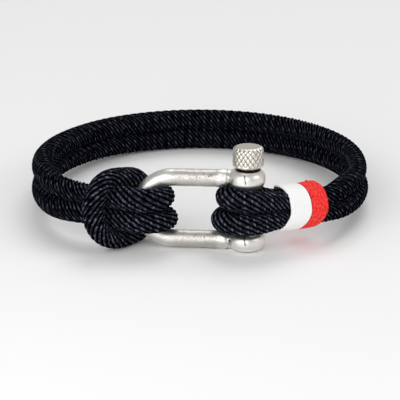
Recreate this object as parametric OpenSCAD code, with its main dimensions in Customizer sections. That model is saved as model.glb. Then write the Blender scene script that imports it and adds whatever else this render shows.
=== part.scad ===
// Nautical bracelet: one braided cord laid double round the wrist. Its bight is hitched to the bow
// of a small D shackle, and its two ends turn round the screw pin and are whipped to the band.
// The bracelet is drawn in the plane of its ring, then tilted as it lies on a table.

/* [Cord] */
// Diameter of the braided cord
cord_d = 4.2; // [3.8:0.1:4.2]
// Height between the middles of the two strands of the band
strand_gap = 4.4; // [4.3:0.1:4.6]
// Diameter of a strand where the hitch squeezes it
hitch_d = 3.9; // [3.6:0.1:3.9]
// Diameter of a strand inside the whippings
bound_d = 3.56; // [3.3:0.02:3.56]

/* [Shackle] */
// Diameter of the shackle's bent bar
bar_d = 3.4; // [3:0.1:3.4]
// Inside width between the two legs
inside_w = 9.2; // [9.2:0.1:9.6]
// From the middle of the bow's curve to the pin
leg_l = 14.75; // [14.5:0.05:16]
// Diameter of the eyes at the ends of the legs
eye_d = 7.2; // [6.6:0.1:7.4]
// Rounding of the eyes' edges
eye_round = 1.2; // [0.6:0.1:1.4]
// Turn of the shackle about its pin, bow towards the back
swing = 4.5; // [3:0.5:4.5]

/* [Pin] */
// Diameter of the pin's shank
pin_d = 3.3; // [2.8:0.1:3.3]
// Play between the shank and the eyes' bores, on the radius
pin_play = 0.03; // [0.02:0.01:0.08]
// Diameter of the knurled head
head_d = 6.1; // [5.4:0.1:6.6]
// Height of the head over its neck
head_h = 4.4; // [3.6:0.1:5]
// Rounding of the head's top edge
head_round = 0.8; // [0.4:0.1:1.2]
// Height of the bevel under the head
head_bevel = 0.7; // [0.4:0.1:1]
// Diameter of the neck between head and eye
neck_d = 4.5; // [4.2:0.1:5]
// Height of the neck
neck_h = 0.45; // [0.3:0.05:0.8]

/* [Whippings] */
// Length of the white whipping along the cords
white_l = 4.8; // [4:0.1:5]
// Length of the red whipping
red_l = 3.8; // [3:0.1:4]
// Thickness of the wound thread
thread_wall = 0.4; // [0.3:0.05:0.6]
// Turn of the whipped bundle towards the back of the ring
bundle_turn = 31; // [29:0.5:32]

/* [Hidden] */

cord_r = cord_d / 2;
hitch_r = hitch_d / 2;
bound_r = bound_d / 2;
turn_r = 2.0;                              // radius of a strand pressed into a turn round the metal
strand_z = strand_gap / 2;
bar_r = bar_d / 2;
leg_z = (inside_w + bar_d) / 2;            // height of each leg's middle over the ring's plane
pin_x = 9.4;
bow_x = pin_x - leg_l;
eye_h = bar_d;
eye_top = leg_z + eye_h / 2;
seat_gap = 0.02;                           // between the neck and the eye it is screwed against
pin_tip_inset = 0.15;                      // how far the pin's tip stays inside the lower eye

// Rest: the ring's plane leans back until the shackle and the far strands stand on the table
rest_tilt = 3.87;
rest_roll = 0.28;
rest_shift = [0, -26.7, 8.195];

// The four bound cords: two in front and two behind, side by side and one over the other
bundle_start = [15.7, 0.1];                // middle of the bundle at the white whipping's near edge
bound_half = 1.84;                         // from the bundle's middle to each cord's middle
bundle_l = white_l + red_l + 0.1;
back_room = 0.16;                          // more room behind the bound cords
mouth_side = 2.2;                          // the tucked ends bend away to the pin past this line,
mouth_slant = 24.4;                        // and the whipping's near edge slants back for them

// The route of the cord. Its points are x, y, z and the strand's radius, for a smooth curve that
// runs near them. SIDES and STEPS are the facets round the cord and between two points.
SIDES = 14;
STEPS = 3;
TURN_STEP = 45;
// A smooth curve cuts inside its points, so points round a turn stand out by this share
swell = (4 + 2 * cos(TURN_STEP)) / 6;

// Points round a post from angle a0 to a1: centre, half widths along x and y, heights z0 to z1
function around(c, rx, ry, z0, z1, a0, a1, r) =
    let (n = round(abs(a1 - a0) / TURN_STEP))
    [for (i = [0 : n]) let (a = a0 + (a1 - a0) * i / n)
        [c[0] + rx / swell * cos(a), c[1] + ry / swell * sin(a), z0 + (z1 - z0) * i / n, r]];

// A point of the bundle: s along it, side across it, at height z
function bound(s, side, z, r = bound_r) =
    [bundle_start[0] + s * cos(bundle_turn) - side * sin(bundle_turn),
     bundle_start[1] + s * sin(bundle_turn) + side * cos(bundle_turn), z, r];

// A point of the shackle's own frame, swung about the pin
function swung(x, y) = [pin_x + (x - pin_x) * cos(swing) + y * sin(swing),
                        -(x - pin_x) * sin(swing) + y * cos(swing)];

// Where a strand's height meets the round bow
bow_post = swung(bow_x - sqrt(pow(leg_z, 2) - pow(strand_z, 2)), 0);
bow_turn_r = bar_r + cord_r + 0.12;
pin_turn_r = pin_d / 2 + cord_r + 0.1;

// The band's way round the wrist, from the whippings to the hitch: x and y of each strand
UPPER_BAND = [[28.2, 7.7], [31, 13.4], [32.2, 21.5], [31.9, 29.8], [29.6, 38.3], [24.9, 46.2],
    [18.2, 52.6], [9.6, 56.7], [0, 58.2], [-9.6, 56.7], [-18.2, 52.6], [-25, 46.2],
    [-30, 38.3], [-32.5, 29.8], [-32.5, 21], [-30.6, 13], [-27.8, 7.6]];
LOWER_BAND = [[28.4, 7.9], [31.1, 13.4], [32.6, 21], [32.4, 29.3], [30.1, 38], [25.2, 46],
    [18.5, 52.5], [9.8, 56.7], [0, 58.2], [-9.8, 56.7], [-18.5, 52.5], [-25.3, 46],
    [-30.2, 38], [-32.5, 29], [-32.5, 20], [-30.9, 12], [-28, 6.8]];

// A cord's tucked end, its turn round the pin and its way back through the whippings.
// side is 1 for the upper strand and -1 for the lower, slack widens the turn.
function pin_end(side, slack) =
    let (z = side * strand_z, q = side * bound_half, px = pin_x - slack * 1.7)
    concat(
        [bound(bundle_l + 0.7, bound_half, q), bound(bundle_l - 2, bound_half, q),
         bound(4.2, bound_half, q), bound(2.3, bound_half, q), bound(-0.7, bound_half, q),
         [11.9 - 0.7 * slack, 3 + 0.5 * slack, z, turn_r - 0.05]],
        around([px, 0], pin_turn_r + slack, pin_turn_r + slack, z, z, 90, 270, cord_r),
        [[12.7, 0.4 - pin_turn_r, z, cord_r],
         bound(-1.2, -bound_half, q, bound_r + 0.03),
         bound(1.5, -bound_half, q), bound(4.6, -bound_half, q), bound(bundle_l - 0.6, -bound_half, q),
         bound(bundle_l + 1.8, -bound_half - 0.15, side * 1.93, bound_r + 0.02)]);

function band(points, z) = [for (p = points) [p[0], p[1], z, cord_r]];

// The hitch: under the arch, in front of the bow, round it, back behind it and over to the arch
UPPER_HITCH = concat(
    [[-24, 4.3, 2.2, cord_r], [-20.7, 1.9, 2.1, hitch_r], [-17.4, -0.2, 2.1, hitch_r],
     [-14.2, -1.75, 2.3, turn_r]],
    around(bow_post + [0.1, 0], 4.4, bow_turn_r, 2.08, 2.25, -90, 90, turn_r),
    [[-13.2, 5.2, 4.3, cord_r], [-15, 3.8, 5.7, turn_r], [-17.2, 1.3, 6.3, hitch_r - 0.05],
     [-19.4, -1.5, 5.9, hitch_r - 0.05], [-20.7, -3.3, 3.3, cord_r]]);
LOWER_HITCH = concat(
    [[-24.2, 4.1, -2.2, cord_r], [-20.8, 1.7, -2.05, hitch_r], [-17.4, -0.3, -2, hitch_r],
     [-14.2, -1.75, -2, turn_r]],
    around(bow_post + [0.3, 0], 4.55, bow_turn_r, -2.1, -2.5, -90, 90, turn_r),
    [[-13, 5.2, -4.6, cord_r], [-15.2, 3.8, -6.1, turn_r], [-17.3, 1, -6.45, hitch_r - 0.05],
     [-19.4, -2.2, -5.5, hitch_r - 0.05], [-20.6, -3.7, -2.6, cord_r]]);
ARCH_TOP = [[-20.9, -3.7, 0.4, cord_r]];

UPPER_HALF = concat(pin_end(1, 0), band(UPPER_BAND, strand_z), UPPER_HITCH);
LOWER_HALF = concat(pin_end(-1, 0.3), band(LOWER_BAND, -strand_z), LOWER_HITCH);
ROUTE = concat(UPPER_HALF, ARCH_TOP, [for (i = [len(LOWER_HALF) - 1 : -1 : 0]) LOWER_HALF[i]]);

function unit(v) = v / norm(v);
function place(p) = [p[0], p[1], p[2]];

// Weights of four neighbouring points on a uniform cubic B-spline
function weights(u) = [pow(1 - u, 3), 3 * pow(u, 3) - 6 * u * u + 4,
                       -3 * pow(u, 3) + 3 * u * u + 3 * u + 1, pow(u, 3)] / 6;

function smooth(points) =
    let (n = len(points),
         q = concat([2 * points[0] - points[1]], points, [2 * points[n - 1] - points[n - 2]]))
    concat([for (i = [0 : n - 2], k = [0 : STEPS - 1]) let (w = weights(k / STEPS))
                w[0] * q[i] + w[1] * q[i + 1] + w[2] * q[i + 2] + w[3] * q[i + 3]],
           [points[n - 1]]);

// The part of a direction that stands square to the curve
function square_to(v, along) = unit(v - (v * along) * along);

// Tube along a smooth curve, with rings that don't twist
module tube(points) {
    line = smooth(points);
    last = len(line) - 1;
    along = [for (i = [0 : last])
        unit(place(line[min(i + 1, last)]) - place(line[max(i - 1, 0)]))];
    across = [for (i = 0, v = square_to([0, 0, 1], along[0]); i <= last;
        v = square_to(v, along[min(i + 1, last)]), i = i + 1) v];
    rings = [for (i = [0 : last], k = [0 : SIDES - 1]) let (a = 360 * k / SIDES)
        place(line[i]) + line[i][3] * (cos(a) * across[i] + sin(a) * cross(along[i], across[i]))];
    walls = [for (i = [0 : last - 1], k = [0 : SIDES - 1], half = [0, 1])
        let (a = i * SIDES + k, b = i * SIDES + (k + 1) % SIDES)
        half == 0 ? [a, b, b + SIDES] : [a, b + SIDES, a + SIDES]];
    near_end = [[for (k = [SIDES - 1 : -1 : 0]) k]];
    far_end = [[for (k = [0 : SIDES - 1]) last * SIDES + k]];
    polyhedron(rings, [for (f = concat(walls, near_end, far_end)) [f[2], f[1], f[0],
        each [for (i = [len(f) - 1 : -1 : 3]) f[i]]]]);
}

// From the ring's plane to the pose at rest
module at_rest() {
    translate(rest_shift) rotate([-rest_tilt, rest_roll, 0]) children();
}

module on_pin_axis() {
    at_rest() translate([pin_x, 0, 0]) children();
}

// The braided cord, in one piece
module cord() {
    color("#15171f") at_rest() tube(ROUTE);
}

// Half outline of an eye: a disc with rounded edges
module eye_outline() {
    flat = eye_d / 2 - eye_round;
    translate([0, -eye_h / 2]) square([flat, eye_h]);
    translate([0, eye_round - eye_h / 2]) square([eye_d / 2, eye_h - 2 * eye_round]);
    for (side = [-1, 1])
        translate([flat, side * (eye_h / 2 - eye_round)]) circle(eye_round, $fn = 48);
}

// The shackle's bent bar: two legs, a half-round bow and an eye on each leg
module shackle() {
    color("#c9c7c2") on_pin_axis() rotate([0, 0, -swing]) difference() {
        union() {
            for (side = [-1, 1]) {
                translate([-leg_l, 0, side * leg_z]) rotate([0, 90, 0])
                    cylinder(r = bar_r, h = leg_l, $fn = 64);
                translate([0, 0, side * leg_z]) rotate_extrude($fn = 96) eye_outline();
            }
            translate([-leg_l, 0, 0]) rotate([90, 0, 0]) rotate([0, 0, 90])
                rotate_extrude(angle = 180, $fn = 96) translate([leg_z, 0]) circle(bar_r, $fn = 64);
        }
        cylinder(d = pin_d + 2 * pin_play, h = 2 * eye_top + 2, center = true, $fn = 96);
    }
}

// Half outline of the head over its neck
module head_outline() {
    top = head_h - head_round;
    flat = head_d / 2 - head_round;
    square([flat, head_h]);
    polygon([[0, 0], [neck_d / 2, 0], [head_d / 2, head_bevel], [head_d / 2, top], [0, top]]);
    translate([flat, top]) circle(head_round, $fn = 48);
}

// The screw pin with its knurled head; its thread is inside the lower eye
module shackle_pin() {
    neck_z = eye_top + seat_gap;
    tip_z = pin_tip_inset - eye_top;
    color("#d6d4cf") on_pin_axis() union() {
        translate([0, 0, tip_z]) cylinder(d = pin_d, h = neck_z - tip_z + neck_h, $fn = 96);
        translate([0, 0, neck_z]) cylinder(d = neck_d, h = neck_h, $fn = 96);
        translate([0, 0, neck_z + neck_h]) rotate_extrude($fn = 96) head_outline();
    }
}

// Bar with a nearly square section and round corners, along +X from the origin
module round_bar(half_w, corner, length) {
    flat = half_w - corner;
    rotate([0, 90, 0]) {
        translate([-half_w, -flat, 0]) cube([2 * half_w, 2 * flat + back_room, length]);
        translate([-flat, -half_w, 0]) cube([2 * flat, 2 * half_w + back_room, length]);
        for (a = [-1, 1], y = [-flat, flat + back_room])
            translate([a * flat, y, 0]) cylinder(r = corner, h = length, $fn = 48);
    }
}

// A band of wound thread round the four bound cords
module whipping(start, length) {
    play = 0.08;
    inner = bound_half + bound_r + play;
    at_rest() translate([bundle_start[0], bundle_start[1], 0]) rotate([0, 0, bundle_turn])
        difference() {
            translate([start, 0, 0])
                round_bar(inner + thread_wall, bound_r + play + thread_wall, length);
            translate([start - 1, 0, 0]) round_bar(inner, bound_r + play, length + 2);
            translate([0, mouth_side, 0]) rotate([0, 0, -mouth_slant])
                translate([-10, -20, -10]) cube([10, 40, 20]);
        }
}

module white_whipping() {
    color("#f3f2ee") whipping(0, white_l);
}

module red_whipping() {
    color("#d9272d") whipping(bundle_l - red_l, red_l);
}

cord();
shackle();
shackle_pin();
white_whipping();
red_whipping();
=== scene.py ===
"""The looks of a nautical bracelet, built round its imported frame.

One braided cord is laid double round the wrist. Its bight is hitched to the bow of a D shackle,
its two ends turn round the shackle's screw pin, and thread whippings bind them to the band.
Shapes are worked out in millimetres in the plane of the ring, where the bracelet is flat, and one
placement then leans them as the bracelet lies on a table.
"""
from __future__ import annotations

import logging
import math
from dataclasses import dataclass, field
from enum import Enum

import bpy
import numpy as np
from mathutils import Matrix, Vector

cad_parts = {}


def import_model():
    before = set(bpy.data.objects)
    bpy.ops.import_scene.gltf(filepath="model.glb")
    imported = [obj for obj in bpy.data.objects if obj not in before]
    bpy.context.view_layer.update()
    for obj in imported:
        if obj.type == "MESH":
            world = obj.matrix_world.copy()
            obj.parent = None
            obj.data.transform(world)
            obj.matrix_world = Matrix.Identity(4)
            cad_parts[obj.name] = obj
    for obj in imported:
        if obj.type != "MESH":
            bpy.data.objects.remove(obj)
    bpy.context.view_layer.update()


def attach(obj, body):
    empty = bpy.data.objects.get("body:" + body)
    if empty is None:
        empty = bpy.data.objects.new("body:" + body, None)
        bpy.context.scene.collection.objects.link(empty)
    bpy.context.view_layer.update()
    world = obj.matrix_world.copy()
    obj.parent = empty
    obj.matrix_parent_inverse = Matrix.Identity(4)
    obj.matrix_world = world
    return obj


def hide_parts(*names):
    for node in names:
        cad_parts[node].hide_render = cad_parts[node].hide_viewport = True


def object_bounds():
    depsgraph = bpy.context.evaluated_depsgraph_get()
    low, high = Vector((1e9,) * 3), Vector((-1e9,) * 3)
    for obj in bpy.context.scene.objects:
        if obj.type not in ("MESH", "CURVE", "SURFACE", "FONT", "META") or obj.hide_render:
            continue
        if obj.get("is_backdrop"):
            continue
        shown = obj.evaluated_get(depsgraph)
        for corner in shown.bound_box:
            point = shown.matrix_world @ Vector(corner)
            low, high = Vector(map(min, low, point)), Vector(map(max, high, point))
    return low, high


LOG = logging.getLogger("bracelet")
Array = np.ndarray
Pair = tuple[float, float]
MM = 0.001
TAU = 2 * math.pi


class Slot(Enum):
    """The record's material slots."""

    CORD = "navy_cord"
    SHACKLE = "satin_steel"
    PIN = "knurled_steel"
    WHITE = "white_thread"
    RED = "red_thread"


class Body(Enum):
    """The bodies that pieces ride on."""

    BAND = "band"
    PIN = "pin"


def linear(hex_colour: str) -> tuple[float, float, float, float]:
    """Turn an sRGB colour into the linear one that shaders use.

    Args:
        hex_colour: The colour as "#rrggbb".

    Returns:
        Linear red, green, blue and an alpha of one.
    """
    shares = [int(hex_colour[i : i + 2], 16) / 255 for i in (1, 3, 5)]
    red, green, blue = [s / 12.92 if s <= 0.04045 else ((s + 0.055) / 1.055) ** 2.4 for s in shares]
    return red, green, blue, 1.0


def set_inputs(tree: bpy.types.NodeTree, node: bpy.types.Node, inputs: dict) -> None:
    """Set or link several inputs of a node.

    Args:
        tree: The material's or world's node tree.
        node: The node.
        inputs: For each input socket, a value or the output socket that feeds it.
    """
    for name, value in inputs.items():
        if isinstance(value, bpy.types.NodeSocket):
            tree.links.new(value, node.inputs[name])
        else:
            node.inputs[name].default_value = value


def add_node(
    tree: bpy.types.NodeTree, kind: str, inputs: dict | None = None, **settings: object
) -> bpy.types.Node:
    """Add one node with its settings, values and links.

    Args:
        tree: The material's or world's node tree.
        kind: Blender's name of the node type.
        inputs: For each input socket, a value or the output socket that feeds it.
        settings: Properties of the node itself.

    Returns:
        The new node.
    """
    node = tree.nodes.new(kind)
    for name, value in settings.items():
        setattr(node, name, value)
    set_inputs(tree, node, inputs or {})
    return node


def blank_material(name: str) -> tuple[bpy.types.Material, bpy.types.NodeTree, bpy.types.Node]:
    """Make a material that holds one Principled shader.

    Args:
        name: The material's name.

    Returns:
        The material, its node tree and the shader node.
    """
    material = bpy.data.materials.new(name)
    material.use_nodes = True
    tree = material.node_tree
    tree.nodes.clear()
    shader = add_node(tree, "ShaderNodeBsdfPrincipled")
    add_node(tree, "ShaderNodeOutputMaterial", {"Surface": shader.outputs[0]})
    return material, tree, shader


@dataclass(frozen=True)
class BraidedPolyester:
    """Braided multifilament polyester cord, dyed navy.

    The yarns are bundles of fine filaments, and the thin grey streaks on each crown are painted
    highlights along them. The slits between the ridges are painted black as shade, and the
    knuckles of the crossing yarns and a few patches of the crowns carry painted highlights, as
    small uneven dots. Where the cord isn't stretched round the metal in front, it is darkened as
    painted shade.

    Edges are distances from a slit or a row of knuckles, as shares of the way to the next one,
    and levels are those of a noise between which a pattern fades in.
    """

    # This colour is painted shade: black in the slits, and the darkening of slack cord.
    slit: str = "#000001"
    yarn: str = "#040409"
    # This colour is a painted highlight along the yarns' filaments.
    filament_highlight: str = "#404350"
    # This colour is a painted highlight, on the knuckles and on glint patches of the crowns.
    knuckle: str = "#747987"
    roughness: float = 0.5
    # How far slack cord is darkened towards black, as painted shade.
    slack_shade_share: float = 0.45
    ridge_mm: float = 0.82
    knuckle_row_mm: float = 1.45
    filament_mm: float = 0.25
    streak_mm: float = 0.9
    glint_mm: float = 0.75
    slit_floor: float = 0.11
    slack_slit_edge: float = 0.46
    taut_slit_edge: float = 0.36
    crown_edges: Pair = (0.22, 0.44)
    knuckle_edges: Pair = (0.04, 0.14)
    filament_levels: Pair = (0.42, 0.68)
    glint_levels: Pair = (0.56, 0.72)
    glint_strength: float = 0.6
    filament_depth_mm: float = 0.05

    def material(self) -> bpy.types.Material:
        """Build the cord's material; filaments are drawn several times coarser to show.

        The map's u is the place across the ridges and v the running count of knuckle rows, as the
        braid's relief has them, so slits lie at whole numbers of u and knuckles at those of v.

        Returns:
            The material.
        """
        material, tree, shader = blank_material("braided_polyester")
        chance = add_node(tree, "ShaderNodeAttribute", attribute_name="chance").outputs["Fac"]
        taut = add_node(tree, "ShaderNodeAttribute", attribute_name="taut").outputs["Fac"]
        route_map = add_node(tree, "ShaderNodeUVMap", uv_map="along_cord").outputs["UV"]
        across, along, _ = add_node(tree, "ShaderNodeSeparateXYZ", {"Vector": route_map}).outputs
        off_slit = add_node(
            tree, "ShaderNodeMath", {0: across, 1: 0.5}, operation="PINGPONG",
        ).outputs[0]
        off_knuckle = add_node(
            tree, "ShaderNodeMath", {0: along, 1: 0.5}, operation="PINGPONG",
        ).outputs[0]
        on_crown = add_node(
            tree, "ShaderNodeMapRange",
            {"Value": off_slit, "From Min": self.crown_edges[0], "From Max": self.crown_edges[1]},
        ).outputs[0]
        at_knuckle = add_node(
            tree, "ShaderNodeMapRange",
            {"Value": off_knuckle, "From Min": self.knuckle_edges[0],
             "From Max": self.knuckle_edges[1], "To Min": 1.0, "To Max": 0.0},
        ).outputs[0]
        knuckle = add_node(
            tree, "ShaderNodeMath", {0: on_crown, 1: at_knuckle}, operation="MULTIPLY",
        ).outputs[0]
        # Painted highlights on the knuckles, each by its own chance.
        knuckle_highlight = add_node(
            tree, "ShaderNodeMath", {0: knuckle, 1: chance}, operation="MULTIPLY",
        ).outputs[0]
        slit_edge = add_node(
            tree, "ShaderNodeMapRange",
            {"Value": taut, "To Min": self.slack_slit_edge, "To Max": self.taut_slit_edge},
        ).outputs[0]
        # Painted shade: the slits go black, fading out towards each crown.
        ridge = add_node(
            tree, "ShaderNodeMapRange",
            {"Value": off_slit, "From Min": self.slit_floor, "From Max": slit_edge},
            interpolation_type="SMOOTHSTEP",
        ).outputs[0]
        filament_map = add_node(
            tree, "ShaderNodeMapping",
            {"Vector": route_map, "Scale": (
                self.ridge_mm / self.filament_mm, self.knuckle_row_mm / self.streak_mm, 1)},
        ).outputs[0]
        filaments = add_node(
            tree, "ShaderNodeTexNoise",
            {"Vector": filament_map, "Scale": 1.0, "Detail": 2.0, "Roughness": 0.7},
        ).outputs[0]
        # Painted highlights: grey streaks of the filaments on the crowns.
        highlight_lines = add_node(
            tree, "ShaderNodeMapRange",
            {"Value": filaments, "From Min": self.filament_levels[0],
             "From Max": self.filament_levels[1]},
        ).outputs[0]
        highlight_streaked = add_node(
            tree, "ShaderNodeMix",
            {"Factor": highlight_lines, "A": linear(self.yarn), "B": linear(self.filament_highlight)},
            data_type="RGBA",
        ).outputs["Result"]
        glint_map = add_node(
            tree, "ShaderNodeMapping",
            {"Vector": route_map, "Scale": (
                self.ridge_mm / self.glint_mm, self.knuckle_row_mm / self.glint_mm, 1)},
        ).outputs[0]
        patches = add_node(
            tree, "ShaderNodeTexNoise", {"Vector": glint_map, "Scale": 1.0, "Detail": 1.0},
        ).outputs[0]
        # Glints are painted highlights, in the knuckles' colour.
        glint = add_node(
            tree, "ShaderNodeMapRange",
            {"Value": patches, "From Min": self.glint_levels[0], "From Max": self.glint_levels[1],
             "To Max": self.glint_strength},
        ).outputs[0]
        glinting = add_node(
            tree, "ShaderNodeMix",
            {"Factor": glint, "A": highlight_streaked, "B": linear(self.knuckle)}, data_type="RGBA",
        ).outputs["Result"]
        slit_shaded = add_node(
            tree, "ShaderNodeMix",
            {"Factor": ridge, "A": linear(self.slit), "B": glinting}, data_type="RGBA",
        ).outputs["Result"]
        highlight_dotted = add_node(
            tree, "ShaderNodeMix",
            {"Factor": knuckle_highlight, "A": slit_shaded, "B": linear(self.knuckle)}, data_type="RGBA",
        ).outputs["Result"]
        # Painted shade: slack cord, away from the front, is darkened towards black.
        slack_shade = add_node(
            tree, "ShaderNodeMapRange",
            {"Value": taut, "To Min": self.slack_shade_share, "To Max": 0.0},
        ).outputs[0]
        slack_shaded = add_node(
            tree, "ShaderNodeMix",
            {"Factor": slack_shade, "A": highlight_dotted, "B": linear(self.slit)}, data_type="RGBA",
        ).outputs["Result"]
        bump = add_node(
            tree, "ShaderNodeBump",
            {"Height": filaments, "Strength": 0.5, "Distance": self.filament_depth_mm * MM},
        ).outputs[0]
        set_inputs(tree, shader, {
            "Base Color": slack_shaded, "Roughness": self.roughness, "Normal": bump,
            "Specular IOR Level": 0.0,
        })
        return material


@dataclass(frozen=True)
class TumbledSteel:
    """Cast stainless steel, tumbled in stones to a satin.

    Tumbling rounds every edge and leaves a dense grain of tiny dents on the legs, so highlights
    there are broad and mottled. The eyes and the bow are worn smooth, and their whiter colour is
    partly a painted highlight. Painted shade darkens the creases beside the eyes, the upper eye's
    top round the bore under the pin's head, and a band along the front of the legs among the
    pits. A leaning dark line on each eye's face is a painted reflection. The grain is drawn
    coarser than the real one, so that it shows.
    """

    colour: str = "#cac7c2"
    # The pit colour also paints shade, in a band along the front of the legs.
    pit_and_shade_colour: str = "#807e7a"
    # Whiter steel where it is worn smooth, partly a painted highlight.
    rubbed_highlight_colour: str = "#f3f1ec"
    # Painted shade in the creases and under the pin's head, and a painted reflection line.
    painted_shade_colour: str = "#1d1a18"
    dent_mm: float = 0.35
    dent_depth_mm: float = 0.03
    pit_levels: Pair = (0.33, 0.49)
    grain_levels: Pair = (0.3, 0.7)
    grain_roughness: Pair = (0.54, 0.36)
    rubbed_polish: float = -0.06
    dent_strength: float = 0.6
    rubbed_dent_strength: float = 0.08

    def material(self) -> bpy.types.Material:
        """Build the shackle's steel by its attributes: painted shade, wear with a painted highlight,
        and pits with painted shade.

        Returns:
            The material.
        """
        material, tree, shader = blank_material("tumbled_steel")
        painted_shade = add_node(tree, "ShaderNodeAttribute", attribute_name="painted_shade").outputs["Fac"]
        rubbed_and_highlit = add_node(tree, "ShaderNodeAttribute", attribute_name="rubbed_and_highlit").outputs["Fac"]
        pitted_and_shaded = add_node(tree, "ShaderNodeAttribute", attribute_name="pitted_and_shaded").outputs["Fac"]
        place = add_node(tree, "ShaderNodeTexCoord").outputs["Object"]
        dents = add_node(
            tree, "ShaderNodeTexNoise",
            {"Vector": place, "Scale": 1 / (self.dent_mm * MM), "Detail": 4.0, "Roughness": 0.65},
        ).outputs[0]
        pits = add_node(
            tree, "ShaderNodeMapRange",
            {"Value": dents, "From Min": self.pit_levels[0], "From Max": self.pit_levels[1],
             "To Min": 1.0, "To Max": 0.0},
        ).outputs[0]
        # Pits, and the painted shade of the band along the legs' front.
        pits_and_shade = add_node(
            tree, "ShaderNodeMath", {0: pits, 1: pitted_and_shaded}, operation="MULTIPLY",
        ).outputs[0]
        tone = add_node(
            tree, "ShaderNodeMix",
            {"Factor": pits_and_shade, "A": linear(self.colour), "B": linear(self.pit_and_shade_colour)},
            data_type="RGBA",
        ).outputs["Result"]
        # Worn steel is whiter, partly a painted highlight.
        highlit_tone = add_node(
            tree, "ShaderNodeMix",
            {"Factor": rubbed_and_highlit, "A": tone, "B": linear(self.rubbed_highlight_colour)}, data_type="RGBA",
        ).outputs["Result"]
        # Painted shade and the painted reflection line, in near-black.
        shaded_tone = add_node(
            tree, "ShaderNodeMix",
            {"Factor": painted_shade, "A": highlit_tone, "B": linear(self.painted_shade_colour)},
            data_type="RGBA",
        ).outputs["Result"]
        grain = add_node(
            tree, "ShaderNodeMapRange",
            {"Value": dents, "From Min": self.grain_levels[0], "From Max": self.grain_levels[1],
             "To Min": self.grain_roughness[0], "To Max": self.grain_roughness[1]},
        ).outputs[0]
        roughness = add_node(
            tree, "ShaderNodeMath", {0: rubbed_and_highlit, 1: self.rubbed_polish, 2: grain},
            operation="MULTIPLY_ADD",
        ).outputs[0]
        depth = add_node(
            tree, "ShaderNodeMapRange",
            {"Value": rubbed_and_highlit, "To Min": self.dent_strength, "To Max": self.rubbed_dent_strength},
        ).outputs[0]
        bump = add_node(
            tree, "ShaderNodeBump",
            {"Height": dents, "Strength": depth, "Distance": self.dent_depth_mm * MM},
        ).outputs[0]
        set_inputs(tree, shader, {
            "Base Color": shaded_tone, "Metallic": 1.0, "Roughness": roughness, "Normal": bump,
        })
        return material


@dataclass(frozen=True)
class KnurledSteel:
    """Turned stainless steel with a pressed diamond knurl.

    The diamonds are burnished by the knurling wheel and shine. The grooves, the pits where they
    cross, the thread and the recess of the neck are darkened with painted shade. Fine scratches
    break up the highlights and are drawn coarser than the real ones, so that they show.
    """

    colour: str = "#ece8de"
    # This colour is painted shade, in grooves, thread and the neck's recess.
    groove_shade: str = "#26231f"
    roughness: float = 0.27
    scratch_mm: float = 0.2
    scratch_depth_mm: float = 0.02

    def material(self) -> bpy.types.Material:
        """Build the pin's steel; the attribute lay is 1 on bare metal and falls into grooves.

        Returns:
            The material.
        """
        material, tree, shader = blank_material("knurled_steel")
        lay = add_node(tree, "ShaderNodeAttribute", attribute_name="lay").outputs["Fac"]
        place = add_node(tree, "ShaderNodeTexCoord").outputs["Object"]
        scratch = add_node(
            tree, "ShaderNodeTexNoise",
            {"Vector": place, "Scale": 1 / (self.scratch_mm * MM), "Detail": 3.0},
        ).outputs[0]
        tone = add_node(
            tree, "ShaderNodeMix",
            {"Factor": lay, "A": linear(self.groove_shade), "B": linear(self.colour)},
            data_type="RGBA",
        ).outputs["Result"]
        bump = add_node(
            tree, "ShaderNodeBump",
            {"Height": scratch, "Strength": 0.35, "Distance": self.scratch_depth_mm * MM},
        ).outputs[0]
        set_inputs(tree, shader, {
            "Base Color": tone, "Metallic": 1.0, "Roughness": self.roughness, "Normal": bump,
        })
        return material


@dataclass(frozen=True)
class WoundThread:
    """Twisted polyester thread, wound tight and burnished.

    Each turn is a rounded cord of twisted plies: light on its crown and darker between turns, as
    painted shade. Random paler streaks are a painted sheen. Slanting marks where the plies go
    round are drawn coarser than the real ones so that they show.
    """

    name: str
    colour: str
    shade: str
    # The colour of the random paler streaks, a painted sheen.
    light: str
    ply_marks: float = 0.5
    ply_depth_mm: float = 0.04
    roughness: float = 0.6
    streak_levels: Pair = (0.48, 0.7)
    streak_strength: float = 0.7

    def material(self) -> bpy.types.Material:
        """Build a thread's material.

        The map counts plies, along a turn in u and across the turns in v. The attribute lay is 1
        on a turn's crown and falls between turns.

        Returns:
            The material.
        """
        material, tree, shader = blank_material(self.name)
        lay = add_node(tree, "ShaderNodeAttribute", attribute_name="lay").outputs["Fac"]
        wound = add_node(tree, "ShaderNodeUVMap", uv_map="along_thread").outputs["UV"]
        plies = add_node(
            tree, "ShaderNodeTexWave",
            {"Vector": wound, "Scale": 1.0, "Distortion": 0.6, "Detail": 2.0},
            wave_type="BANDS", bands_direction="DIAGONAL",
        ).outputs[0]
        streaks = add_node(
            tree, "ShaderNodeTexNoise", {"Vector": wound, "Scale": 0.9, "Detail": 3.0},
        ).outputs[0]
        # Painted shade between turns, where lay falls.
        tone = add_node(
            tree, "ShaderNodeMix",
            {"Factor": lay, "A": linear(self.shade), "B": linear(self.colour)}, data_type="RGBA",
        ).outputs["Result"]
        # Painted sheen: random paler streaks.
        bright = add_node(
            tree, "ShaderNodeMapRange",
            {"Value": streaks, "From Min": self.streak_levels[0],
             "From Max": self.streak_levels[1], "To Max": self.streak_strength},
        ).outputs[0]
        highlight_streaked = add_node(
            tree, "ShaderNodeMix",
            {"Factor": bright, "A": tone, "B": linear(self.light)}, data_type="RGBA",
        ).outputs["Result"]
        bump = add_node(
            tree, "ShaderNodeBump",
            {"Height": plies, "Strength": self.ply_marks, "Distance": self.ply_depth_mm * MM},
        ).outputs[0]
        set_inputs(tree, shader, {
            "Base Color": highlight_streaked, "Roughness": self.roughness, "Normal": bump,
            "Specular IOR Level": 0.2, "Sheen Weight": 0.05, "Sheen Roughness": 0.5,
        })
        return material


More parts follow.
